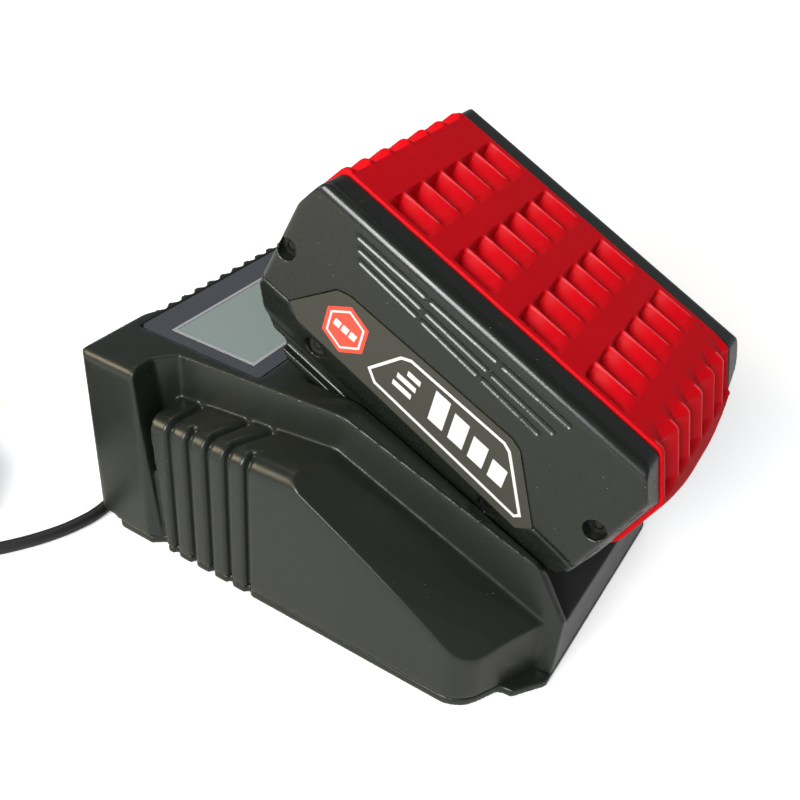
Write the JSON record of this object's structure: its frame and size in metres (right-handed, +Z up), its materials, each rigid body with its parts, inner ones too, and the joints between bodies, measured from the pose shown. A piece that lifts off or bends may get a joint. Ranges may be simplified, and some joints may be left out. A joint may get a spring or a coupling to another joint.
{
  "type": "power tool battery charger",
  "caption": "Table charger for slide-on tool batteries: dark vented housing with a screen on its deck, a sloping dock that holds a red and black ribbed pack, and a coiled mains lead.",
  "frame": {"origin": "on the table, under the middle of the charger and its docked pack, without the mains lead", "axes": "+X across the charger, -Y the front that the pack slides off towards, +Z up"},
  "size_m": [0.1971, 0.2544, 0.1289],
  "materials": {
    "housing": "satin grained black plastic",
    "panel": "smooth slate plate",
    "display_border": "printed pale grey",
    "display_glass": "glossy grey-green window",
    "circuit_board": "green laminate",
    "ribbon": "smooth white film",
    "ferrite": "dull dark ferrite",
    "capacitor_sleeve": "dark blue sleeve",
    "copper_winding": "enamelled copper wire",
    "ceramic_white": "white ceramic",
    "aluminium": "extruded",
    "black_plastic": "moulded black",
    "steel": "plated",
    "wire_insulation": "smooth insulation",
    "rubber": "soft black",
    "cord": "smooth black sheath",
    "pack_shell": "fine grained black plastic",
    "pack_red": "satin red plastic",
    "label": "smooth dark plate",
    "cell": "shrink sleeve over a can"
  },
  "bodies": {
    "charger": {"base_shell": "housing", "top_cover": "housing", "display_panel": "panel", "display_frame": "display_border", "display_window": "display_glass", "display_module": "circuit_board", "display_ribbon": "ribbon", "main_board": "circuit_board", "transformer": "ferrite", "bulk_capacitors": "capacitor_sleeve", "line_choke": "copper_winding", "fuse": "ceramic_white", "heat_sink": "aluminium", "power_transistors": "black_plastic", "contact_block": "black_plastic", "contact_blades": "steel", "contact_leads": "wire_insulation", "inlet_leads": "wire_insulation", "housing_screws": "steel", "rubber_feet": "rubber", "strain_relief": "rubber", "power_cord": "cord", "cord_coil": "cord", "coil_tie": "rubber", "mains_plug": "rubber", "plug_pins": "steel"},
    "battery": {"pack_side_left": "pack_shell", "pack_side_right": "pack_shell", "grip_band": "pack_red", "rail_cover": "pack_shell", "label_left": "label", "label_right": "label", "pack_screws": "steel", "battery_cells": "cell", "cell_holders": "black_plastic", "cell_straps": "steel", "pack_board": "circuit_board", "pack_terminals": "black_plastic"},
    "button": {"release_button": "pack_red"},
    "catch": {"latch": "pack_shell"}
  },
  "joints": [
    {"name": "battery_slide", "type": "slide", "parent": "charger", "child": "battery", "axis": [0, -0.9026, -0.4305], "range_m": [0, 0.07]},
    {"name": "button_slide", "type": "slide", "parent": "battery", "child": "button", "axis": [0, 0.9026, 0.4305], "range_m": [0, 0.002], "stiffness_N_per_m": 1500, "springref_m": -0.001},
    {"name": "latch_slide", "type": "slide", "parent": "battery", "child": "catch", "axis": [0, -0.4305, 0.9026], "range_m": [0, 0.002]}
  ],
  "couplings": [
    {"joint": "latch_slide", "follows": "button_slide", "ratio": 1}
  ]
}
